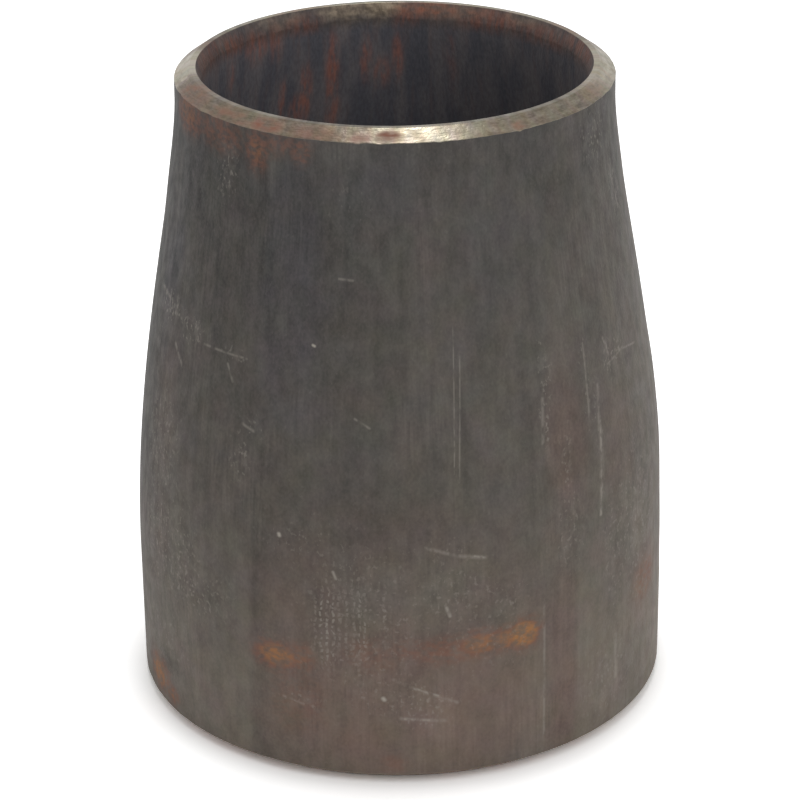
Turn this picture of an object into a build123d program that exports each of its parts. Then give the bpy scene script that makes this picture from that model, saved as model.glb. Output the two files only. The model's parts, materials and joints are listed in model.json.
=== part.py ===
from build123d import *
import os
from math import radians, tan

# Concentric butt weld reducer in carbon steel, one piece, in millimetres.
# It stands on its large end: the origin is the centre of that end's face, and +Z runs
# through the fitting to the small end.

# The two pipes that it joins
large_od = 76.1
large_wall = 2.9
small_od = 60.3
small_wall = 2.9

# The fitting, from end face to end face
length = 92.0

# How far the wall runs straight, in line with the pipe, before and after the formed stretch
large_straight = 20.0
small_straight = 4.0

# Forming the tube down to the smaller diameter thickens its wall, most of all at the neck
neck_wall = 3.65

# How long the formed wall holds each end's direction, as shares of the formed height: it
# turns in slowly from the large end and quickly into the neck
large_hold = 0.43
small_hold = 0.165

# Weld preparation, turned on both ends: a flat root face with an outside bevel behind it,
# its angle measured from the plane of the face
root_face = 0.8
bevel_angle = 35.0

# The neck's thicker wall is bored back to the pipe's own bore at the small face. The cut
# runs this many millimetres along the axis for each millimetre of radius
taper_run = 3.0

large_radius = large_od / 2
small_radius = small_od / 2
large_bore = large_radius - large_wall
small_bore = small_radius - small_wall
neck_bore = small_radius - neck_wall

large_bevel = (large_wall - root_face) * tan(radians(bevel_angle))
small_bevel = (small_wall - root_face) * tan(radians(bevel_angle))
taper_bottom = length - taper_run * (small_bore - neck_bore)


def formed_wall(large_point, small_point):
    """The S of one side of the wall, in line with the pipe where it leaves each end."""
    height = small_point[1] - large_point[1]
    return Bezier(
        large_point,
        (large_point[0], large_point[1] + large_hold * height),
        (small_point[0], small_point[1] - small_hold * height),
        small_point,
    )


with BuildPart() as reducer:
    # Section of the wall, radius by height, from the large bevel up the outside, over the
    # small end and down the inside
    with BuildSketch(Plane.XZ):
        with BuildLine():
            Line((large_radius, large_bevel), (large_radius, large_straight))
            formed_wall((large_radius, large_straight), (small_radius, length - small_straight))
            Polyline(
                (small_radius, length - small_straight),
                (small_radius, length - small_bevel),
                (small_bore + root_face, length),
                (small_bore, length),
                (neck_bore, taper_bottom),
            )
            formed_wall((large_bore, large_straight), (neck_bore, taper_bottom))
            Polyline(
                (large_bore, large_straight),
                (large_bore, 0),
                (large_bore + root_face, 0),
                (large_radius, large_bevel),
            )
        make_face()
    revolve(axis=Axis.Z)

reducer.part.label = "reducer"

os.makedirs("parts", exist_ok=True)
export_step(reducer.part, "parts/reducer.step")
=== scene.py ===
import json
from math import cos, pi, radians, sin, tan

import bpy
import numpy as np
from mathutils import Matrix, Vector, noise


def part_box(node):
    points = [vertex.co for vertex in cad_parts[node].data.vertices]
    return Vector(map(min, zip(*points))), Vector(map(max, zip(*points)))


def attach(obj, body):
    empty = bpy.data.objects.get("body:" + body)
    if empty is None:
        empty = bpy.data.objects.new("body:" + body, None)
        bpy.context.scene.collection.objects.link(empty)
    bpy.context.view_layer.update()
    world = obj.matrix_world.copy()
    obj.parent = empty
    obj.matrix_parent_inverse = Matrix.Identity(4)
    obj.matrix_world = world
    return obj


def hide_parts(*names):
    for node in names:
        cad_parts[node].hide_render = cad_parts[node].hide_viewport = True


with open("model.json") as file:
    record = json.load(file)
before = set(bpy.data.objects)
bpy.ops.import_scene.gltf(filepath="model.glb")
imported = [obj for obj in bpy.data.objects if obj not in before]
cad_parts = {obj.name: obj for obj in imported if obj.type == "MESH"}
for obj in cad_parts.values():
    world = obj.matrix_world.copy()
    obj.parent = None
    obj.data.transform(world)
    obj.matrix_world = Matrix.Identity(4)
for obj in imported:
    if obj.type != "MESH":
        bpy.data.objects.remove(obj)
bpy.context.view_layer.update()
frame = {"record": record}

# The reducer: a piece of seamless carbon steel tube, heated and pushed into a die that draws
# one end down to the smaller pipe. The die leaves the wall smooth, a little out of round and
# thicker at the neck. Both ends are then turned for welding.
mm = 0.001
high_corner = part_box("reducer")[1]
mounts = {mount["name"]: mount for mount in frame["record"]["mounts"]}
length = high_corner.z
large_radius = high_corner.x
large_bore = mounts["large_bore"]["dims"]["r_mm"] * mm
small_radius = mounts["small_outside"]["dims"]["r_mm"] * mm
pipe_wall = large_radius - large_bore
neck_wall = 3.65 * mm
large_straight = 20 * mm
small_straight = 4 * mm
large_hold = 0.43
small_hold = 0.165
root_face = 0.8 * mm
bevel_slope = tan(radians(35))
taper_run = 3

bevel_height = (pipe_wall - root_face) * bevel_slope
small_bore = small_radius - pipe_wall
neck_bore = small_radius - neck_wall
taper_bottom = length - taper_run * (small_bore - neck_bore)
small_root = small_bore + root_face
large_root = large_bore + root_face

columns = 480
wall_row = 0.95 * mm
bore_row = 1.6 * mm
edge_break = 0.04 * mm
turns = np.arange(columns) / columns * 360 - 180


def formed_wall(low, high):
    """The S of one side of the wall, as radii and heights in line with both its ends."""
    share = np.linspace(0, 1, 200)
    rise = high[1] - low[1]
    holds = (low[1], low[1] + large_hold * rise, high[1] - small_hold * rise, high[1])
    back = 1 - share
    weights = (back ** 3, 3 * share * back ** 2, 3 * share ** 2 * back, share ** 3)
    radii = low[0] * (weights[0] + weights[1]) + high[0] * (weights[2] + weights[3])
    return radii, sum(weight * hold for weight, hold in zip(weights, holds))


def rows_up(foot, formed, top, spacing):
    """Rows up one side of the wall, evenly spaced, and close together at both of its edges."""
    radii = np.concatenate(((foot[0],), formed[0], (top[0],)))
    heights = np.concatenate(((foot[1],), formed[1], (top[1],)))
    run = np.concatenate(((0,), np.cumsum(np.hypot(np.diff(radii), np.diff(heights)))))
    even = np.linspace(0, run[-1], round(run[-1] / spacing))[1:-1]
    stops = np.concatenate(((0, edge_break, 3 * edge_break), even,
                            (run[-1] - 3 * edge_break, run[-1] - edge_break, run[-1])))
    return np.interp(stops, run, radii), np.interp(stops, run, heights)


def rows_across(start, end, count):
    """Rows across a turned face between two rings, close together at both of its edges."""
    span = np.hypot(end[0] - start[0], end[1] - start[1]).max()
    near = edge_break / span
    even = np.linspace(0, 1, count + 2)[1:-1]
    shares = np.concatenate(((near, 3 * near), even, (1 - 3 * near, 1 - near)))
    return [tuple(low + (high - low) * share for low, high in zip(start, end)) for share in shares]


def lumps(angles, heights, width, tall, seed):
    """Smooth random relief from -1 to 1 round the wall, with lumps of one width and height."""
    places = zip(np.sin(np.radians(angles)).ravel() * large_radius / width,
                 np.cos(np.radians(angles)).ravel() * large_radius / width,
                 heights.ravel() / tall)
    shift = Vector((seed, seed / 2, 0))
    return np.array([noise.noise(Vector(place) + shift) for place in places]).reshape(angles.shape)


def patches(angles, heights, places):
    """Soft oval patches, each an angle in degrees, a height in mm, half sizes and a strength."""
    total = np.zeros(angles.shape)
    for angle, height, half_angle, half_height, strength in places:
        across = (angles - angle + 180) % 360 - 180
        away = (across / half_angle) ** 2 + ((heights / mm - height) / half_height) ** 2
        total = np.maximum(total, strength * np.exp(-away ** 2))
    return total


def soft_step(values, sharpness):
    """A step from 0 to 1 where the values pass zero."""
    largest_power = 700
    return 1 / (1 + np.exp(np.minimum(-values * sharpness, largest_power)))


# The die is in parts, and its joint lines stand on the wall as two shallow steps, given in
# degrees to the right of the front. The right one leans out with the cone.
left_step = -33
right_step_heights = (0, 25, 50, 67, 86)
right_step_angles = (31.5, 31.3, 33.2, 36.8, 40.8)


def right_step(heights):
    """Where the right joint line stands at each height."""
    return np.interp(heights / mm, right_step_heights, right_step_angles)


def outside_relief(angles, heights):
    """How far the formed wall stands under its true size."""
    oval = 0.06 * mm * (0.5 + 0.5 * np.cos(np.radians(2 * angles - 40)))
    broad = 0.05 * mm * (lumps(angles, heights, 16 * mm, 30 * mm, 3) + 0.2)
    drawn = 0.010 * mm * (lumps(angles, heights, 1.5 * mm, 60 * mm, 8) + 1)
    left_panel = 0.03 * mm * soft_step(left_step - angles, 3)
    left_line = patches(angles, heights, ((left_step, 26, 0.9, 200, 0.05 * mm),))
    right_line = 0.045 * mm * np.exp(-((angles - right_step(heights)) / 0.8) ** 2)
    waist = patches(angles, heights, ((90, 23, 40, 7, 0.10 * mm),))
    full_places = ((-88, 83, 48, 10, 0.22 * mm), (88, 85, 40, 9, 0.16 * mm), (90, 42, 42, 9, 0.20 * mm))
    full = patches(angles, heights, full_places)
    return oval + broad + drawn + left_panel + left_line + right_line + waist - full


def inside_relief(angles, heights):
    """How far the raw bore stands inside its true size."""
    broad = 0.08 * mm * (lumps(angles, heights, 9 * mm, 25 * mm, 21) + 0.3)
    drawn = 0.03 * mm * lumps(angles, heights, 1.6 * mm, 40 * mm, 33)
    return broad + drawn


# Outside wall. The bevels are turned true, so where the rough wall stands proud its edge runs
# further along the bevel, and the tool has left a few burrs there.
burrs = ((-9.3, 0.7, 0.16), (-3.8, 1.0, 0.12), (10.9, 1.0, 0.14), (32.3, 0.7, 0.12),
         (141, 0.8, 0.12), (-122, 0.9, 0.14), (88, 0.6, 0.1))
level = turns * 0
out_formed = formed_wall((large_radius, large_straight), (small_radius, length - small_straight))
out_radius, out_height = rows_up(
    (large_radius, bevel_height), out_formed, (small_radius, length - bevel_height), wall_row)
angles, heights = np.meshgrid(turns, out_height)
outside = out_radius[:, None] - outside_relief(angles, heights)
neck_wander = 0.07 * lumps(turns, level, 2.2 * mm, 1, 51)
neck_wander += 0.04 * lumps(turns, level, 0.8 * mm, 1, 57)
for angle, half_angle, size in burrs:
    neck_wander += size * np.exp(-((turns - angle) / half_angle) ** 2)
foot_wander = 0.06 * (lumps(turns, level, 2.6 * mm, 1, 71) - 0.5)
near_neck = np.clip((heights - (length - 3.2 * mm)) / (1.7 * mm), 0, 1) ** 2
near_foot = np.clip(1 - (heights - bevel_height) / (1.6 * mm), 0, 1) ** 2
wander = (near_neck * neck_wander + near_foot * foot_wander) * mm
outside = np.minimum(outside + wander, large_radius)
neck_edge = (outside[-1], length - (outside[-1] - small_root) * bevel_slope)
foot_edge = (outside[0], (outside[0] - large_root) * bevel_slope)
heights += near_neck * (neck_edge[1] - out_height[-1]) + near_foot * (foot_edge[1] - out_height[0])
wall_rows = list(zip(outside, heights))[1:-1]

# Raw bore, from the large root face up to the lower edge of the bored taper
in_formed = formed_wall((large_bore, large_straight), (neck_bore, taper_bottom))
in_radius, in_height = rows_up((large_bore, 0), in_formed, (neck_bore, taper_bottom), bore_row)
angles, heights = np.meshgrid(turns, in_height)
inside = in_radius[:, None] - inside_relief(angles, heights)
bore_edge = (inside[-1], length - taper_run * (small_bore - inside[-1]))
near_taper = np.clip((heights - (taper_bottom - 6 * mm)) / (6 * mm), 0, 1)
heights += near_taper * (bore_edge[1] - taper_bottom)
bore_rows = list(zip(inside, heights))[-4:0:-1]

mouth_outer = (level + small_root, level + length)
mouth_inner = (level + small_bore, level + length)
foot_inner = (inside[0], level)
foot_outer = (level + large_root, level)
finishes = ("mill scale", "turned", "bore scale")
strips = (
    ("mill scale", wall_rows),
    ("turned", rows_across(neck_edge, mouth_outer, 5)),
    ("turned", rows_across(mouth_outer, mouth_inner, 1)),
    ("bore scale", rows_across(mouth_inner, bore_edge, 6)[:-2] + [bore_edge]),
    ("bore scale", bore_rows),
    ("turned", rows_across(foot_inner, foot_outer, 1)),
    ("turned", rows_across(foot_outer, foot_edge, 4)),
)
wall_strip, band_strip, raw_bore_strip, foot_strips = 0, 3, 4, 5
rows = [row for finish, strip in strips for row in strip]
row_finish = np.array([finishes.index(finish) for finish, strip in strips for row in strip])
radius = np.array([row[0] for row in rows])
height = np.array([row[1] for row in rows])
angle = np.tile(turns, (len(rows), 1))
to_right = np.sin(np.radians(angle))
to_back = -np.cos(np.radians(angle))
points = np.stack((radius * to_right, radius * to_back, height), axis=2)
here = np.arange(angle.size).reshape(angle.shape)
right = np.roll(here, -1, axis=1)
faces = np.stack((here, right, np.roll(right, -1, axis=0), np.roll(here, -1, axis=0)), axis=2)

body = bpy.data.meshes.new("reducer_body")
body.from_pydata(points.reshape(-1, 3).tolist(), [], faces.reshape(-1, 4).tolist())
body.shade_smooth()
reducer = bpy.data.objects.new("reducer_body", body)
bpy.context.scene.collection.objects.link(reducer)

# The broken edge between two finishes shows the turned metal
face_finish = row_finish.copy()
face_finish[np.roll(row_finish, -1) == finishes.index("turned")] = finishes.index("turned")
body.polygons.foreach_set("material_index", np.repeat(face_finish, columns))

# One map wraps the whole skin: across it round the axis, and up it along the section
map_margin = 0.003
map_span = 1 - 2 * map_margin
step = np.hypot(np.diff(radius[:, 0], append=radius[:1, 0]),
                np.diff(height[:, 0], append=height[:1, 0]))
up_share = np.concatenate(((0,), np.cumsum(step))) / step.sum()
round_share = np.arange(columns + 1) / columns
sides = np.meshgrid(map_margin + round_share * map_span, map_margin + up_share * map_span)
corners = np.stack(sides, axis=2)
skin_map = np.stack((corners[:-1, :-1], corners[:-1, 1:], corners[1:, 1:], corners[1:, :-1]), axis=2)
body.uv_layers.new(name="OFBake").data.foreach_set("uv", skin_map.ravel())

# How light the scale is: dark high up and paler low down, partly its own tone and partly painted light from
# the white floor below, a little lighter to the right as painted light from that side, a shade apart across
# each joint line, and with lighter and darker places. Low down the die has rubbed a pale border to the left
# of the left joint line and left a dark one to the right of both.
light_places = (
    (-35.4, 10, 1.8, 17, 0.09), (-50, 14, 14, 16, 0.04), (75, 14, 26, 18, 0.04),
    (32, 72, 9, 12, 0.03), (64, 76, 8, 6, 0.05), (-57, 60, 9, 3.5, 0.05), (34, 58, 3.5, 4, 0.04),
    (30.4, 14, 0.7, 13, 0.08), (20, 12, 16, 8, 0.05), (12, 30, 8, 4, 0.04), (120, 30, 20, 20, 0.06),
    (-130, 26, 22, 20, 0.08), (19, 82, 10, 8, 0.03), (10, 62, 9, 14, 0.03), (6, 10, 9, 5, 0.06),
    (-44, 10, 9, 8, 0.08), (46, 11, 9, 9, 0.07), (170, 64, 18, 14, 0.06), (20, 53, 8, 7, 0.035),
    (14, 45, 6, 6, 0.05), (60, 48, 14, 8, 0.05), (52, 38, 8, 7, 0.04), (5, 26, 8, 3.5, 0.05),
    (46.5, 20, 3.5, 15, 0.1), (42.6, 14, 2.8, 18, 0.11),
)
dark_places = (
    (-21, 70, 13, 15, 0.08), (-31.5, 71, 1.6, 9, 0.10), (-24, 84, 6, 6, 0.05),
    (-66, 68, 4, 9, 0.10), (-31.5, 28, 1.6, 7, 0.06), (-30.5, 24.5, 1.6, 3, 0.05),
    (-3, 76.9, 1.2, 1.6, 0.12), (-62, 8.5, 6, 1.6, 0.16), (-44, 24, 6, 1.2, 0.10),
    (-56, 83, 17, 9, 0.10), (-50, 70, 12, 8, 0.05), (-50, 57, 16, 9, 0.05), (-80, 46, 14, 60, 0.14),
    (-18, 38, 18, 10, 0.04), (66, 83, 15, 12, 0.08), (-25, 54, 9, 7, 0.05), (-10, 53, 12, 7, 0.045),
    (-2, 45, 5, 5, 0.04), (-35.5, 83, 2.5, 6, 0.06), (-42, 46, 8, 5, 0.04), (-19, 14, 4, 6, 0.05),
    (-25.5, 72, 1.0, 16, 0.05), (-29.5, 66, 0.9, 14, 0.07), (27, 80, 6, 9, 0.03),
    (-28, 46, 5, 6, 0.03), (33, 62, 1.6, 13, 0.05), (29, 50, 1.2, 12, 0.03), (14, 50, 1.0, 9, 0.05),
    (150, 40, 16, 26, 0.07), (-100, 76, 16, 12, 0.07), (-165, 80, 12, 8, 0.08),
)
left_border_degrees, left_border_top = 10, 38
front_border_degrees, front_border_top = 4, 52
right_border_degrees, right_border_top = 8, 29
tone_and_bounce_heights = (0, 12, 24, 44, 60, 80, 92)
tone_and_bounce_levels = (0.55, 0.54, 0.475, 0.40, 0.375, 0.33, 0.32)
beside_left = left_step - angle
beside_right = angle - right_step(height)
left_panel = soft_step(beside_left, 6)
right_panel = soft_step(beside_right, 4)
front_panel = 1 - left_panel - right_panel
left_border = (left_panel * soft_step(left_border_degrees - beside_left, 0.6)
               * soft_step(left_border_top - height / mm, 0.3))
front_border = (front_panel * soft_step(beside_left + front_border_degrees, 1.5)
                * soft_step(front_border_top - height / mm, 0.3))
right_border = (right_panel * soft_step(right_border_degrees - beside_right, 3)
                * soft_step(right_border_top - height / mm, 0.4))
# Painted light: the rise in tone low down stands partly for light from the floor below, and the sine makes
# the right side lighter and the left darker
tone_and_painted_light = np.interp(height / mm, tone_and_bounce_heights, tone_and_bounce_levels)
tone_and_painted_light += 0.025 * right_panel - 0.035 * left_panel + 0.02 * np.sin(np.radians(angle))
tone_and_painted_light += 0.045 * left_border - 0.055 * front_border - 0.07 * right_border
tone_and_painted_light += patches(angle, height, light_places) - patches(angle, height, dark_places)

# Its tint: bluish high up in the front panel, warmer towards the foot, and reddish in places
# and in the dark border of the right panel
red_places = (
    (0, 12, 34, 14, 1.0), (-22, 24, 12, 14, 0.7), (20, 26, 14, 10, 0.4), (0, 36, 26, 7, 0.35),
    (8, 80, 4, 12, 0.3),
)
blue_places = (
    (-26, 70, 9, 18, 1.1), (-22, 54, 8, 5, 0.8), (-68, 68, 6, 9, 1.0), (24, 76, 9, 10, 0.4),
    (-5, 84, 20, 5, 0.5), (-10, 47, 5, 4, 0.5), (-140, 70, 20, 14, 0.7),
)
side_red_places = (
    (39, 47, 6, 9, 1.0), (36, 14, 4, 14, 0.6), (56, 44, 6, 7, 0.5), (66, 20, 10, 6, 0.5),
    (-66, 50, 8, 14, 0.4), (-70, 30, 10, 10, 0.3), (130, 24, 30, 16, 0.8), (-150, 18, 30, 12, 0.8),
)
low_down = np.clip(1.05 - height / length, 0, 1)[..., None]
redden = patches(angle, height, red_places) * front_panel + patches(angle, height, side_red_places)
tint_and_bore_light = np.array((0.985, 1.0, 1.01)) + low_down * np.array((0.08, 0.0, -0.10))
for area, change in (
    (redden, (0.15, -0.02, -0.02)),
    (patches(angle, height, blue_places), (-0.03, -0.02, 0.09)),
    (left_panel, (0.015, 0.0, 0.0)),
    (right_panel, (0.02, 0.0, -0.01)),
    (right_border, (0.04, -0.02, 0.0)),
):
    tint_and_bore_light = tint_and_bore_light * (1 + area[..., None] * np.array(change))

# Where it has rusted: a broken ring where the forming began, low places that stood in the wet, spots under
# the small bevel and on it, streaks down the bore, and a band all round the turned faces of the foot, which
# is partly rust and partly painted shade under the fitting's edge
rust_places = (
    (-26.8, 18.2, 5.8, 2.3, 0.95), (-21.5, 18.4, 3.4, 2.4, 0.7), (-22, 12, 7, 6, 0.22),
    (-6, 20, 6, 2.6, 0.3), (2, 20.8, 4, 1.6, 0.5), (9, 20.4, 7, 2.2, 0.55),
    (17, 21.0, 6.5, 2.2, 0.85), (26.2, 21.1, 4.2, 2.5, 1.15), (22, 21.0, 3.5, 2.0, 0.9),
    (-67, 5.2, 6, 3.0, 0.9), (-60, 3.6, 3, 1.4, 0.8), (66, 19.8, 6, 3.2, 0.5),
    (-37, 87.8, 3.8, 2.9, 0.72), (-24, 88.7, 2.8, 1.8, 0.62), (-66, 89.0, 9.0, 3.0, 0.7),
    (-50, 88.6, 9.0, 2.6, 0.55), (-30, 89.2, 9, 1.6, 0.45), (118, 19.5, 12, 2.2, 0.8),
    (150, 20.5, 7, 1.8, 0.6), (-150, 19, 14, 2.4, 0.75), (-112, 20.5, 5, 1.6, 0.6),
    (172, 6, 12, 3.5, 0.55), (128, 88, 8, 2.2, 0.6), (-160, 89, 5, 1.8, 0.6), (-2, 3, 3, 1.6, 0.35),
)
# The last four places, round the foot, are partly painted shade under the fitting's edge
turned_rust_and_shade_places = (
    (-67, 91.2, 9, 1.0, 0.7), (-48, 91.0, 9, 0.9, 0.7), (-35, 91.1, 5, 0.7, 1.0),
    (-1.6, 91.2, 3.2, 0.5, 1.1), (-9, 91.0, 3.0, 0.5, 0.5), (-21, 91, 7, 0.8, 0.55),
    (32.8, 91.0, 2.0, 0.5, 0.8), (66, 91.2, 7, 0.7, 0.4), (-108, 91.4, 6, 1.2, 0.4),
    (120, 91.2, 14, 0.9, 0.8), (-150, 91.2, 12, 0.9, 0.8), (-40, 0.6, 30, 1.4, 0.9),
    (30, 0.6, 40, 1.4, 0.7), (140, 0.6, 40, 1.4, 0.8), (-130, 0.6, 30, 1.4, 0.7),
)
bore_rust_places = (
    (-160.4, 82, 2.2, 6.0, 1.0), (-151.5, 79, 2.4, 4.4, 1.0), (-143.5, 79, 1.4, 3.0, 0.9),
    (-171, 83.4, 2.0, 3.4, 0.8), (-176, 81.6, 2.6, 2.0, 0.8), (179, 84, 1.8, 3.6, 0.8),
    (-161, 75.5, 2.2, 2.2, 1.0), (-148, 76.5, 2.0, 2.4, 0.8), (-120, 85.6, 1.6, 2.4, 0.6),
    (-132, 88.6, 5, 2.2, 0.9), (-121, 89.8, 6, 1.6, 0.8), (-140, 88.5, 3, 2.6, 0.7),
    (-150, 90, 7, 1.4, 0.6), (168, 91.2, 9, 1.3, 1.1), (176, 90.6, 5, 1.3, 0.9),
    (150, 90.6, 12, 1.4, 0.8), (128, 90.2, 14, 1.3, 0.5), (104, 91.0, 16, 1.2, 0.5),
    (-104, 90.4, 16, 2.0, 0.5), (162, 84, 1.6, 5, 0.3), (20, 60, 5, 10, 0.8), (75, 40, 8, 14, 0.7),
    (-60, 55, 6, 12, 0.8), (-20, 12, 12, 6, 0.7), (120, 14, 14, 6, 0.8), (-100, 40, 5, 16, 0.7),
)
strip_of_row = np.repeat(np.arange(len(strips)), [len(strip) for finish, strip in strips])[:, None]
on_wall = strip_of_row == wall_strip
in_bore = (strip_of_row == band_strip) | (strip_of_row == raw_bore_strip)
rust_and_foot_shade_amount = np.select((on_wall, in_bore),
                        (patches(angle, height, rust_places), patches(angle, height, bore_rust_places)),
                        patches(angle, height, turned_rust_and_shade_places))

# The turned faces at the mouth: painted highlights where the bevels would catch the light, broad at the
# left with two small glints, at the right and just right of the front, lighter at the back, and darker to
# the left of the front. Those of the foot are plain. The bored band is bare at the back only.
rim_highlight_places = (
    (-90, 91.5, 12, 3, 0.7), (-86, 91.7, 1.2, 0.4, 1.6), (-80, 91.3, 0.9, 0.3, 1.4),
    (9, 91, 10, 3, 0.36), (86, 91.5, 20, 3, 0.5), (150, 91, 30, 3, 0.3), (-150, 91, 30, 3, 0.3),
)
dull_places = (
    (-22, 91, 10, 3, 0.16),
)
bare_places = (
    (-165, 91.4, 9, 1.6, 0.8), (-176, 91.5, 7, 1.6, 1.3), (164, 91.3, 14, 1.4, 0.4),
    (138, 91.6, 8, 1.2, 0.3), (-142, 91.3, 10, 1.3, 0.3),
)
rim_highlights_and_tone = patches(angle, height, rim_highlight_places) - patches(angle, height, dull_places)
bore_tone = patches(angle, height, bare_places)
tone_and_painted_light = np.select((on_wall, in_bore, strip_of_row >= foot_strips), (tone_and_painted_light, bore_tone, level), rim_highlights_and_tone)

# Where it has been knocked about: thick with fine pale specks, and in the front and at the
# back short upright teeth marks from the grips that held it
speck_places = (
    (33.3, 51, 1.2, 4.5, 0.9), (34.4, 58, 1.8, 4.5, 0.7), (38.5, 44, 1.6, 6, 0.5),
    (46, 54, 1.4, 7, 0.5), (49, 48, 1.4, 7, 0.6), (-66, 62, 7, 2.2, 0.8), (-55, 60.6, 5, 2.2, 0.8),
    (-36, 46, 3, 3.4, 0.65), (-33, 50, 3, 2, 0.5), (-40, 59.6, 4, 1.6, 0.5),
    (38.5, 34.5, 4, 6, 0.5), (-3, 13, 7, 3, 0.5), (4, 13, 8, 3, 0.6), (5, 10, 6, 1.4, 0.7),
    (12, 29, 10, 4, 0.5), (22, 27, 5, 4, 0.5), (-22, 12, 5, 1.6, 0.6), (52, 28, 4, 10, 0.5),
    (-60, 28, 14, 8, 0.55), (-50, 24, 12, 4, 0.55), (-64, 42, 9, 9, 0.5), (62, 30, 12, 12, 0.5),
    (50, 9, 9, 7, 0.5), (-62, 12, 12, 5, 0.4), (-11, 82, 6, 4, 0.15), (-47, 84, 4, 4, 0.7),
    (71, 76, 4, 5, 0.6), (60, 86, 7, 4, 0.6), (57, 56, 5, 3, 0.7), (18, 22, 12, 6, 0.35),
    (-17, 36, 12, 4, 0.3), (-8, 24, 14, 12, 0.45), (9, 35, 7, 2, 0.4), (130, 50, 8, 16, 0.6),
    (-120, 34, 12, 8, 0.5), (170, 24, 14, 8, 0.5), (-150, 60, 6, 10, 0.5),
)
grip_places = (
    (-15.4, 24, 2.9, 6.8, 1.0), (-8.4, 24.5, 2.0, 7.4, 0.8), (-3.3, 25.5, 1.0, 5.0, 0.7),
    (-11.4, 25, 2.4, 6, 0.6), (165, 24, 2.7, 6.8, 0.8),
)
specks = patches(angle, height, speck_places)
teeth = patches(angle, height, grip_places)

# The bore has painted light at the back left, where the lamp at the right would light it, and is a little
# paler low in front. The film on the bored band is brown, and darkest at the left and near its lower edge.
bore_painted_light = patches(angle, height, ((-148, 70, 46, 40, 0.36), (-30, 40, 60, 60, 0.2)))
bore_light_tint = (1 + bore_painted_light)[..., None] * np.ones(3)
dim_band = patches(angle, height, ((-98, 90, 28, 4, 0.16),)) + 0.25 * np.clip(91.2 - height / mm, 0, 1)
band_tint = (1 - dim_band)[..., None] * np.array((1.0, 0.88, 0.78))
strip_here = strip_of_row[..., None]
tint_and_bore_light = np.select((strip_here == raw_bore_strip, strip_here == band_strip), (bore_light_tint, band_tint), tint_and_bore_light)

for name, values in (("tone_and_painted_light", tone_and_painted_light), ("rust_and_foot_shade", rust_and_foot_shade_amount), ("specks", specks), ("teeth", teeth)):
    paint = body.attributes.new(name, "FLOAT", "POINT")
    paint.data.foreach_set("value", values.astype(np.float32).ravel())
paint = body.attributes.new("tint_and_bore_light", "FLOAT_VECTOR", "POINT")
paint.data.foreach_set("vector", tint_and_bore_light.astype(np.float32).ravel())


def colour(code):
    """An sRGB hex colour as the linear colour that a node takes."""
    shares = [int(code[place:place + 2], 16) / 255 for place in (1, 3, 5)]
    linear = [share / 12.92 if share <= 0.04045 else ((share + 0.055) / 1.055) ** 2.4 for share in shares]
    return linear + [1]


def add_node(tree, kind, links, **settings):
    """Adds a node to a material with its settings, and fills or links its inputs."""
    node = tree.nodes.new("ShaderNode" + kind)
    for name, value in settings.items():
        setattr(node, name, value)
    for key, value in links.items():
        socket = node.inputs[key] if isinstance(key, int) else \
            [each for each in node.inputs if each.name == key and each.enabled][0]
        if isinstance(value, bpy.types.Node):
            value = [each for each in value.outputs if each.enabled][0]
        if isinstance(value, bpy.types.NodeSocket):
            tree.links.new(value, socket)
        else:
            socket.default_value = value
    return node


def new_finish(name):
    """A new material, with its node tree and its shader."""
    material = bpy.data.materials.new(name)
    material.use_nodes = True
    return material, material.node_tree, material.node_tree.nodes["Principled BSDF"]


def finish_with(tree, shader, **results):
    """Links the results of a material's nodes to its shader."""
    for name, node in results.items():
        source = [each for each in node.outputs if each.enabled][0]
        tree.links.new(source, shader.inputs[name.replace("_", " ").title()])


# Places on the fitting in millimetres, in three ways: on the wall as it would lie on the large
# end's cylinder, so that grain follows the drawing direction; flattened out, as the distance
# round and the height; and by radius and height, so that grain runs round and round
mm_round_per_radian = 34.4
mm_round_per_degree = mm_round_per_radian * pi / 180
turned_drift = 3.0
place_tree = bpy.data.node_groups.new("place_on_fitting", "ShaderNodeTree")
for name in ("Wall", "Flat", "Turned"):
    place_tree.interface.new_socket(name, in_out="OUTPUT", socket_type="NodeSocketVector")
place_out = place_tree.nodes.new("NodeGroupOutput")
position = add_node(place_tree, "TexCoord", {}).outputs["Object"]
in_mm = add_node(place_tree, "VectorMath", {0: position, "Scale": 1 / mm}, operation="SCALE")
parts = add_node(place_tree, "SeparateXYZ", {0: in_mm})
level_place = add_node(place_tree, "CombineXYZ", {"X": parts.outputs["X"], "Y": parts.outputs["Y"]})
outward = add_node(place_tree, "VectorMath", {0: level_place}, operation="NORMALIZE")
on_ring = add_node(place_tree, "VectorMath", {0: outward, "Scale": large_radius / mm}, operation="SCALE")
upward = add_node(place_tree, "CombineXYZ", {"Z": parts.outputs["Z"]})
wall_place = add_node(place_tree, "VectorMath", {0: on_ring, 1: upward}, operation="ADD")
forward = add_node(place_tree, "Math", {0: parts.outputs["Y"], 1: -1.0}, operation="MULTIPLY")
turn = add_node(place_tree, "Math", {0: parts.outputs["X"], 1: forward}, operation="ARCTAN2")
round_mm = add_node(place_tree, "Math", {0: turn, 1: mm_round_per_radian}, operation="MULTIPLY")
flat_place = add_node(place_tree, "CombineXYZ", {"X": round_mm, "Y": parts.outputs["Z"]})
out_mm = add_node(place_tree, "VectorMath", {0: level_place}, operation="LENGTH").outputs["Value"]
slow_place = add_node(place_tree, "VectorMath", {0: outward, "Scale": turned_drift}, operation="SCALE")
ring_place = add_node(place_tree, "CombineXYZ", {"X": out_mm, "Y": parts.outputs["Z"]})
turned_place = add_node(place_tree, "VectorMath", {0: ring_place, 1: slow_place}, operation="ADD")
for name, node in (("Wall", wall_place), ("Flat", flat_place), ("Turned", turned_place)):
    place_tree.links.new(node.outputs[0], place_out.inputs[name])


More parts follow.
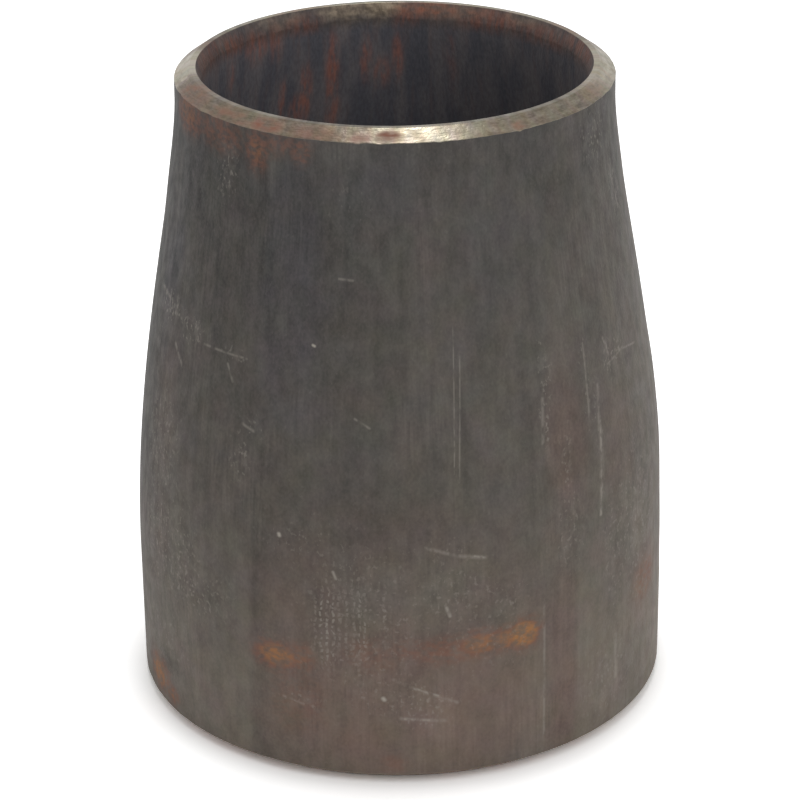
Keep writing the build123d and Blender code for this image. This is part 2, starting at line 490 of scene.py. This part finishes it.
def grain(tree, place, size, least, most, seed, detail=2.0):
    """A mask of random spots, as wide, deep and tall in millimetres as the size gives."""
    shrink = tuple(1 / each for each in size)
    shifted = add_node(tree, "VectorMath", {0: place, 1: shrink, 2: (seed, seed, seed)},
                       operation="MULTIPLY_ADD")
    spots = add_node(tree, "TexNoise", {"Vector": shifted, "Scale": 1.0, "Detail": detail})
    return add_node(tree, "MapRange", {"Value": spots.outputs[0], "From Min": least, "From Max": most},
                    interpolation_type="SMOOTHSTEP")


# One scratch: a straight mark from one place to another on the flattened wall, as a mask
scratch_tree = bpy.data.node_groups.new("scratch", "ShaderNodeTree")
for name, kind in (("Place", "NodeSocketVector"), ("Start", "NodeSocketVector"),
                   ("Run", "NodeSocketVector"), ("Half Width", "NodeSocketFloat")):
    scratch_tree.interface.new_socket(name, in_out="INPUT", socket_type=kind)
scratch_tree.interface.new_socket("Mask", in_out="OUTPUT", socket_type="NodeSocketFloat")
given = scratch_tree.nodes.new("NodeGroupInput").outputs
from_start = add_node(scratch_tree, "VectorMath", {0: given["Place"], 1: given["Start"]},
                      operation="SUBTRACT")
along = add_node(scratch_tree, "VectorMath", {0: from_start, 1: given["Run"]},
                 operation="DOT_PRODUCT").outputs["Value"]
square = add_node(scratch_tree, "VectorMath", {0: given["Run"], 1: given["Run"]},
                  operation="DOT_PRODUCT").outputs["Value"]
share = add_node(scratch_tree, "Math", {0: along, 1: square}, operation="DIVIDE", use_clamp=True)
nearest = add_node(scratch_tree, "VectorMath", {0: given["Run"], "Scale": share}, operation="SCALE")
away = add_node(scratch_tree, "VectorMath", {0: from_start, 1: nearest},
                operation="DISTANCE").outputs["Value"]
mark = add_node(scratch_tree, "MapRange", {"Value": away, "From Min": given["Half Width"], "From Max": 0.0},
                interpolation_type="SMOOTHSTEP")
scratch_tree.links.new(mark.outputs[0], scratch_tree.nodes.new("NodeGroupOutput").inputs["Mask"])


def scratches(tree, place, marks):
    """The mask of several scratches, each from an angle and height to another, and its half width."""
    faded_width = 1.3
    total = None
    for start_angle, start_height, end_angle, end_height, half_width in marks:
        start = (start_angle * mm_round_per_degree, start_height, 0)
        end = (end_angle * mm_round_per_degree, end_height, 0)
        one = tree.nodes.new("ShaderNodeGroup")
        one.node_tree = scratch_tree
        tree.links.new(place, one.inputs["Place"])
        one.inputs["Start"].default_value = start
        one.inputs["Run"].default_value = [there - here for here, there in zip(start, end)]
        one.inputs["Half Width"].default_value = faded_width * half_width
        total = add_node(tree, "Math", {0: total, 1: one}, operation="MAXIMUM") if total else one
    return total


def stripes(tree, along, pitch, least):
    """A mask of even stripes across a distance in millimetres, thinner for a higher least value."""
    turns_along = add_node(tree, "Math", {0: along, 1: 2 * pi / pitch}, operation="MULTIPLY")
    wave = add_node(tree, "Math", {0: turns_along}, operation="SINE")
    edge = 0.7
    return add_node(tree, "MapRange", {"Value": wave, "From Min": least, "From Max": least + edge})


# Mill scale on hot formed carbon steel: blue-grey oxide, half dull, cloudy and here and there
# drawn into lines. The eye sees a dark grey that shifts between blue, olive and brown.
mill_scale, tree, shader = new_finish("mill_scale")
place = add_node(tree, "Group", {}, node_tree=place_tree)
wall, flat = place.outputs["Wall"], place.outputs["Flat"]
tone_and_light_here = add_node(tree, "Attribute", {}, attribute_name="tone_and_painted_light").outputs["Fac"]
tint_and_light_here = add_node(tree, "Attribute", {}, attribute_name="tint_and_bore_light").outputs["Vector"]
rust_and_shade_here = add_node(tree, "Attribute", {}, attribute_name="rust_and_foot_shade").outputs["Fac"]
specks_here = add_node(tree, "Attribute", {}, attribute_name="specks").outputs["Fac"]
teeth_here = add_node(tree, "Attribute", {}, attribute_name="teeth").outputs["Fac"]
clouds = grain(tree, wall, (8, 8, 13), 0.3, 0.7, 1, 3.0)
mottle = grain(tree, wall, (1.8, 1.8, 2.6), 0.3, 0.7, 5, 4.0)
bands = grain(tree, wall, (1.2, 1.2, 18), 0.3, 0.7, 9)
drawn = grain(tree, wall, (0.45, 0.45, 7), 0.3, 0.7, 17)
drawn_areas = grain(tree, wall, (9, 9, 20), 0.45, 0.65, 27)
drawn = add_node(tree, "Math", {0: drawn, 1: drawn_areas}, operation="MULTIPLY")
fine = grain(tree, wall, (0.4, 0.4, 0.5), 0.3, 0.7, 23, 3.0)
# The tone carries painted light from the floor below and from the right
shade = tone_and_light_here
for spots, share in ((clouds, 0.075), (mottle, 0.07), (bands, 0.045), (drawn, 0.09), (fine, 0.075)):
    shade = add_node(tree, "Math", {0: spots, 1: share, 2: shade}, operation="MULTIPLY_ADD")
shade = add_node(tree, "Math", {0: shade, 1: 0.16}, operation="SUBTRACT")
ground = add_node(tree, "Mix", {"Factor": shade, "A": colour("#17181a"), "B": colour("#857f78")},
                  data_type="RGBA")
ground = add_node(tree, "VectorMath", {0: ground, 1: tint_and_light_here}, operation="MULTIPLY")
shifted = add_node(tree, "VectorMath", {0: wall, "Scale": 1 / 4.5}, operation="SCALE")
oxide_tint = add_node(tree, "TexNoise", {"Vector": shifted, "Scale": 1.0, "Detail": 3.0}).outputs["Color"]
oxide_tint = add_node(tree, "VectorMath", {0: oxide_tint, 1: (0.18, 0.15, 0.22), 2: (0.91, 0.925, 0.89)},
                      operation="MULTIPLY_ADD")
ground = add_node(tree, "VectorMath", {0: ground, 1: oxide_tint}, operation="MULTIPLY")

# Rust on the scale, broken up into grains: brown at its edges and orange where it is thickest
rust_grain = grain(tree, wall, (1.1, 1.1, 0.7), 0.36, 0.64, 31, 4.0)
rust_cover = add_node(tree, "Math", {0: rust_grain, 1: 0.95, 2: 0.3}, operation="MULTIPLY_ADD")
rust_mask = add_node(tree, "Math", {0: rust_and_shade_here, 1: rust_cover}, operation="MULTIPLY")
rust_mask = add_node(tree, "Math", {0: rust_mask, 1: 0.72}, operation="MULTIPLY", use_clamp=True)
orange = add_node(tree, "MapRange", {"Value": rust_and_shade_here, "From Min": 0.6, "From Max": 1.0})
rust_hue = add_node(tree, "Mix", {"Factor": orange, "A": colour("#865a49"), "B": colour("#a07149")},
                    data_type="RGBA")
ground = add_node(tree, "Mix", {"Factor": rust_mask, "A": ground, "B": rust_hue}, data_type="RGBA")

# Marks of handling, all paler than the scale: many faint scratches and a few deeper ones,
# all broken along their length, and three small chips
handling_marks = (
    (13.8, 62, 12.6, 44.8, 0.14), (12.6, 66.4, 11.6, 46, 0.12), (46.4, 59.6, 46.1, 48.9, 0.26),
    (49.9, 53.1, 48.8, 46.9, 0.34), (49.4, 46.9, 47.6, 35.6, 0.5), (53.8, 59.0, 55.7, 56.1, 0.32),
    (54.5, 55.1, 62, 56.0, 0.24), (58, 56.2, 69.3, 54.9, 0.22), (5.4, 35.9, 12, 34.4, 0.34),
    (12, 34.4, 17.7, 33.7, 0.38), (-25.4, 12.0, -21.3, 11.4, 0.26), (-1.7, 16.4, 3.2, 14.7, 0.32),
    (2.6, 14.9, 11.4, 12.3, 0.34), (-0.2, 10.3, 8.7, 9.6, 0.4), (52.3, 14.8, 52.6, 8.1, 0.5),
    (-13.7, 72.4, -10.4, 72.3, 0.24), (-49.5, 59.6, -36.1, 59.7, 0.24),
    (-61.4, 57.2, -57.5, 55.0, 0.4), (-41.4, 58.2, -39.6, 56.1, 0.26),
    (-36, 50.7, -33.2, 50.1, 0.3), (-9.5, 53.9, -6.3, 52.7, 0.22), (-73, 63.2, -67, 62.6, 0.4),
    (31.0, 25, 31.2, 3, 0.26), (33.1, 54.1, 32.4, 48.0, 0.34), (69.9, 78.3, 71.8, 74.3, 0.4),
    (150, 62, 149, 44, 0.2), (-140, 34, -128, 33, 0.3), (168, 40, 176, 38, 0.26),
    (-160, 70, -157, 60, 0.22), (112, 46, 118, 44.5, 0.3), (-105, 22, -99, 21, 0.3),
)
chip_marks = (
    (-26.0, 36.5, -25.9, 36.3, 0.34), (-3.9, 13.4, -3.7, 13.2, 0.38),
    (-19.4, 63.3, -19.0, 63.2, 0.24),
)
deep_marks = (
    (49.5, 48, 48.2, 39.5, 0.3), (48.2, 39.5, 47.5, 34.8, 0.36), (53.9, 58.9, 55.5, 56.3, 0.26),
    (2.6, 14.9, 7.4, 13.6, 0.26), (0.5, 10.2, 5.5, 9.85, 0.3), (9.3, 27.0, 10, 25.7, 0.3),
    (-14, 32.2, -13.4, 31.2, 0.24), (15.4, 34.1, 17.7, 33.7, 0.26),
)
broken = grain(tree, wall, (0.8, 0.8, 1.6), 0.28, 0.6, 41, 3.0)
marks_share = add_node(tree, "Math", {0: scratches(tree, flat, handling_marks), 1: broken},
                       operation="MULTIPLY")
marks_share = add_node(tree, "Math", {0: marks_share, 1: 0.32}, operation="MULTIPLY")
deep_share = add_node(tree, "Math", {0: scratches(tree, flat, deep_marks), 1: broken},
                      operation="MULTIPLY")
deep_share = add_node(tree, "Math", {0: deep_share, 1: 0.6}, operation="MULTIPLY")

# Fine specks, thickest where the fitting has been knocked, chalky rubbed places among them,
# and rows of slightly crooked teeth marks, worn here and there
speck_noise = grain(tree, wall, (0.55, 0.55, 0.7), 0.3, 0.7, 47, 4.0)
speck_least = add_node(tree, "Math", {0: specks_here, 1: -0.42, 2: 0.95}, operation="MULTIPLY_ADD")
speck_most = add_node(tree, "Math", {0: speck_least, 1: 0.4}, operation="ADD")
speck_share = add_node(tree, "MapRange", {"Value": speck_noise, "From Min": speck_least,
                                          "From Max": speck_most})
speck_share = add_node(tree, "Math", {0: speck_share, 1: 0.4}, operation="MULTIPLY")
scuffs = grain(tree, wall, (1.3, 1.3, 1.6), 0.46, 0.72, 53, 4.0)
scuff_share = add_node(tree, "Math", {0: scuffs, 1: specks_here}, operation="MULTIPLY")
scuff_share = add_node(tree, "Math", {0: scuff_share, 1: 0.2}, operation="MULTIPLY")
slip = add_node(tree, "VectorMath", {0: wall, "Scale": 1 / 1.8}, operation="SCALE")
slip = add_node(tree, "TexNoise", {"Vector": slip, "Scale": 1.0, "Detail": 2.0}).outputs["Color"]
slipped = add_node(tree, "VectorMath", {0: slip, 1: (1.2, 2.2, 0), 2: flat}, operation="MULTIPLY_ADD")
flat_parts = add_node(tree, "SeparateXYZ", {0: slipped})
columns_of_teeth = stripes(tree, flat_parts.outputs["X"], 0.8, 0.0)
rows_of_teeth = stripes(tree, flat_parts.outputs["Y"], 0.92, -0.7)
teeth_share = add_node(tree, "Math", {0: columns_of_teeth, 1: rows_of_teeth}, operation="MULTIPLY")
teeth_share = add_node(tree, "Math", {0: teeth_share, 1: teeth_here}, operation="MULTIPLY")
worn = add_node(tree, "Math", {0: broken, 1: 0.5}, operation="MULTIPLY")
teeth_share = add_node(tree, "Math", {0: teeth_share, 1: worn}, operation="MULTIPLY")
chips = scratches(tree, flat, chip_marks)
for share_of_one in (deep_share, speck_share, scuff_share, teeth_share, chips):
    marks_share = add_node(tree, "Math", {0: marks_share, 1: share_of_one}, operation="MAXIMUM")
ground = add_node(tree, "Mix", {"Factor": marks_share, "A": ground, "B": colour("#a39c92")},
                  data_type="RGBA")

# Half dull all over and dull where it has rusted, with the drawn lines, the fine grain and
# the teeth marks felt as relief
gloss = add_node(tree, "MapRange", {"Value": mottle, "To Min": 0.72, "To Max": 0.6})
gloss = add_node(tree, "Mix", {"Factor": rust_mask, "A": gloss, "B": 0.9})
drawn_fine = add_node(tree, "Math", {0: drawn, 1: 0.5, 2: fine}, operation="MULTIPLY_ADD")
drawn_fine = add_node(tree, "Math", {0: teeth_share, 1: 4.0, 2: drawn_fine}, operation="MULTIPLY_ADD")
bump = add_node(tree, "Bump", {"Height": drawn_fine, "Distance": 0.02 * mm, "Strength": 0.7})
finish_with(tree, shader, base_color=ground, roughness=gloss, normal=bump)
shader.inputs["Specular IOR Level"].default_value = 0.25

# Turned steel on the bevels and root faces: bare metal cut round and round, dulled by a film of oxide. The
# eye sees blotched olive and grey, a painted highlight where the light would catch it, and spots of rust,
# which round the foot stand partly for painted shade.
turned_steel, tree, shader = new_finish("turned_steel")
place = add_node(tree, "Group", {}, node_tree=place_tree)
wall = place.outputs["Wall"]
tone_and_light_here = add_node(tree, "Attribute", {}, attribute_name="tone_and_painted_light").outputs["Fac"]
rust_and_shade_here = add_node(tree, "Attribute", {}, attribute_name="rust_and_foot_shade").outputs["Fac"]
film = grain(tree, wall, (2.6, 2.6, 0.5), 0.3, 0.7, 3, 4.0)
circles = grain(tree, place.outputs["Turned"], (0.2, 0.2, 0.9), 0.3, 0.7, 7)
speckle = grain(tree, wall, (0.7, 0.7, 0.18), 0.35, 0.65, 15, 3.0)
# The tone brings in the painted highlights of the mouth's turned faces
shade = tone_and_light_here
for spots, share in ((film, 0.24), (circles, 0.1), (speckle, 0.14)):
    shade = add_node(tree, "Math", {0: spots, 1: share, 2: shade}, operation="MULTIPLY_ADD")
ground = add_node(tree, "Mix", {"Factor": shade, "A": colour("#5a5248"), "B": colour("#a39c8c")},
                  data_type="RGBA")
shifted = add_node(tree, "VectorMath", {0: wall, "Scale": 1 / 1.6}, operation="SCALE")
film_tint = add_node(tree, "TexNoise", {"Vector": shifted, "Scale": 1.0, "Detail": 2.0}).outputs["Color"]
film_tint = add_node(tree, "VectorMath", {0: film_tint, 1: (0.3, 0.2, 0.4), 2: (0.86, 0.9, 0.79)},
                     operation="MULTIPLY_ADD")
ground = add_node(tree, "VectorMath", {0: ground, 1: film_tint}, operation="MULTIPLY")
# Rust, and round the foot painted shade too: darker, rougher and barely metallic
rust_cover = add_node(tree, "Math", {0: film, 1: 1.1, 2: 0.2}, operation="MULTIPLY_ADD")
rust_mask = add_node(tree, "Math", {0: rust_and_shade_here, 1: rust_cover}, operation="MULTIPLY")
rust_mask = add_node(tree, "Math", {0: rust_mask, 1: 0.8}, operation="MULTIPLY", use_clamp=True)
ground = add_node(tree, "Mix", {"Factor": rust_mask, "A": ground, "B": colour("#7b5140")}, data_type="RGBA")
gloss = add_node(tree, "MapRange", {"Value": film, "To Min": 0.46, "To Max": 0.32})
gloss = add_node(tree, "Mix", {"Factor": rust_mask, "A": gloss, "B": 0.8})
metal = add_node(tree, "MapRange", {"Value": rust_mask, "To Min": 1.0, "To Max": 0.1})
cut = add_node(tree, "Math", {0: circles, 1: 0.6, 2: speckle}, operation="MULTIPLY_ADD")
bump = add_node(tree, "Bump", {"Height": cut, "Distance": 0.012 * mm, "Strength": 0.8})
finish_with(tree, shader, base_color=ground, roughness=gloss, metallic=metal, normal=bump)

# Scale in the raw bore: sooty grey and rough, with red rust run down in streaks. The band
# bored out of the neck is bare in places at the back, where the eye sees beige and grey, and
# has a thin brown film over the rest.
bore_scale, tree, shader = new_finish("bore_scale")
place = add_node(tree, "Group", {}, node_tree=place_tree)
wall = place.outputs["Wall"]
bare_here = add_node(tree, "Attribute", {}, attribute_name="tone_and_painted_light").outputs["Fac"]
tint_and_light_here = add_node(tree, "Attribute", {}, attribute_name="tint_and_bore_light").outputs["Vector"]
rust_and_shade_here = add_node(tree, "Attribute", {}, attribute_name="rust_and_foot_shade").outputs["Fac"]
clouds = grain(tree, wall, (4, 4, 10), 0.35, 0.65, 2, 3.0)
ground = add_node(tree, "Mix", {"Factor": clouds, "A": colour("#535359"), "B": colour("#676365")},
                  data_type="RGBA")
streaks = grain(tree, wall, (1.0, 1.0, 7), 0.5, 0.72, 11, 3.0)
streak_share = add_node(tree, "Math", {0: streaks, 1: 0.25}, operation="MULTIPLY")
ground = add_node(tree, "Mix", {"Factor": streak_share, "A": ground, "B": colour("#6b5650")},
                  data_type="RGBA")
film = grain(tree, wall, (2.2, 2.2, 0.9), 0.3, 0.7, 3, 4.0)
bare_steel = add_node(tree, "Mix", {"Factor": film, "A": colour("#6f675a"), "B": colour("#aaa395")},
                      data_type="RGBA")
bare_share = add_node(tree, "Math", {0: film, 1: 0.5, 2: 0.6}, operation="MULTIPLY_ADD")
bare_share = add_node(tree, "Math", {0: bare_share, 1: bare_here}, operation="MULTIPLY", use_clamp=True)
ground = add_node(tree, "Mix", {"Factor": bare_share, "A": ground, "B": bare_steel}, data_type="RGBA")
rust_grain = grain(tree, wall, (0.9, 0.9, 2.2), 0.34, 0.66, 31, 4.0)
on_band = add_node(tree, "MapRange", {"Value": bare_here, "From Max": 0.3})
rust_grain = add_node(tree, "Mix", {"Factor": on_band, "A": rust_grain, "B": film})
rust_cover = add_node(tree, "Math", {0: rust_grain, 1: 1.1, 2: 0.2}, operation="MULTIPLY_ADD")
rust_mask = add_node(tree, "Math", {0: rust_and_shade_here, 1: rust_cover}, operation="MULTIPLY")
rust_mask = add_node(tree, "Math", {0: rust_mask, 1: 0.6}, operation="MULTIPLY", use_clamp=True)
ground = add_node(tree, "Mix", {"Factor": rust_mask, "A": ground, "B": colour("#96604f")}, data_type="RGBA")
flakes = grain(tree, wall, (0.5, 0.5, 0.8), 0.3, 0.7, 19, 3.0)
flake_shade = add_node(tree, "MapRange", {"Value": flakes, "To Min": 0.88, "To Max": 1.12})
ground = add_node(tree, "VectorMath", {0: ground, "Scale": flake_shade}, operation="SCALE")
# The tint brings in the painted light at the back left of the bore
ground = add_node(tree, "VectorMath", {0: ground, 1: tint_and_light_here}, operation="MULTIPLY")
gloss = add_node(tree, "MapRange", {"Value": flakes, "To Min": 0.75, "To Max": 0.6})
bump = add_node(tree, "Bump", {"Height": flakes, "Distance": 0.04 * mm, "Strength": 0.8})
finish_with(tree, shader, base_color=ground, roughness=gloss, normal=bump)
shader.inputs["Specular IOR Level"].default_value = 0.3

for material in (mill_scale, turned_steel, bore_scale):
    body.materials.append(material)
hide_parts("reducer")
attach(reducer, "root")

# The floor: a wide matt white board. It keeps the fitting's soft shadow, and what is looked at
# of it is bright enough to be plain white where nothing stands over it.
floor_half = 1.5
floor_drop = 0.02 * mm
floor_corners = [(x * floor_half, y * floor_half, 0) for x, y in ((-1, -1), (1, -1), (1, 1), (-1, 1))]
floor_mesh = bpy.data.meshes.new("floor")
floor_mesh.from_pydata(floor_corners, [], [(0, 1, 2, 3)])
floor = bpy.data.objects.new("floor", floor_mesh)
floor.location.z = -floor_drop
bpy.context.scene.collection.objects.link(floor)
white_board = bpy.data.materials.new("white_board")
white_board.use_nodes = True
tree = white_board.node_tree
looked_at = 1.55
rays = add_node(tree, "LightPath", {}).outputs
seen = add_node(tree, "Math", {0: rays["Is Camera Ray"], 1: rays["Is Glossy Ray"]}, operation="MAXIMUM")
seen = add_node(tree, "Math", {0: seen, 1: rays["Is Transmission Ray"]}, operation="MAXIMUM")
bright = (looked_at, looked_at, looked_at, 1)
board = add_node(tree, "Mix", {"Factor": seen, "A": colour("#f2f2f2"), "B": bright}, data_type="RGBA")
chalk = add_node(tree, "BsdfDiffuse", {"Color": board})
tree.links.new(chalk.outputs[0], tree.nodes["Material Output"].inputs["Surface"])
floor_mesh.materials.append(white_board)

# The room: even white light from all round, and plain white where the eye or a reflection
# looks past the floor
room = bpy.data.worlds.new("room")
bpy.context.scene.world = room
room.use_nodes = True
tree = room.node_tree
room_light = 0.6
rays = add_node(tree, "LightPath", {}).outputs
seen = add_node(tree, "Math", {0: rays["Is Camera Ray"], 1: rays["Is Glossy Ray"]}, operation="MAXIMUM")
seen = add_node(tree, "Math", {0: seen, 1: rays["Is Transmission Ray"]}, operation="MAXIMUM")
strength = add_node(tree, "MapRange", {"Value": seen, "To Min": room_light, "To Max": 1.0})
background = tree.nodes["Background"]
background.inputs["Color"].default_value = (1, 1, 1, 1)
tree.links.new(strength.outputs[0], background.inputs["Strength"])

# Two soft lamps: a small one almost straight above, a little behind, which the bevel
# reflects, and a broad one in front at the right
lamp_aim = Vector((0, 0, 0.05))
for name, spot, size, power in (
    ("overhead_lamp", (0.008, 0.09, 1.0), (0.22, 0.2), 3.1),
    ("right_lamp", (0.7, -0.8, 0.9), (0.8, 0.8), 1.8),
):
    lamp = bpy.data.lights.new(name, "AREA")
    lamp.shape = "RECTANGLE"
    lamp.size, lamp.size_y = size
    lamp.energy = power
    holder = bpy.data.objects.new(name, lamp)
    holder.location = spot
    holder.rotation_euler = (lamp_aim - Vector(spot)).to_track_quat("-Z", "Y").to_euler()
    bpy.context.scene.collection.objects.link(holder)

# The camera: a long lens, looking down on the fitting from in front and tipped very slightly
look_at = Vector((0.18, 0, 40.88)) * mm
look_down = radians(24.384)
tip = radians(-0.69)
distance = 432.7 * mm
back = Vector((0, -cos(look_down), sin(look_down)))
camera_data = bpy.data.cameras.new("camera")
camera_data.lens = 135.2
camera_data.sensor_width = 36
camera_data.clip_start = 0.01
camera = bpy.data.objects.new("camera", camera_data)
camera.matrix_world = (Matrix.Translation(look_at + back * distance)
                       @ Matrix.Rotation(radians(90) - look_down, 4, "X")
                       @ Matrix.Rotation(tip, 4, "Z"))
bpy.context.scene.collection.objects.link(camera)
bpy.context.scene.camera = camera
bpy.context.scene.view_settings.view_transform = "Standard"
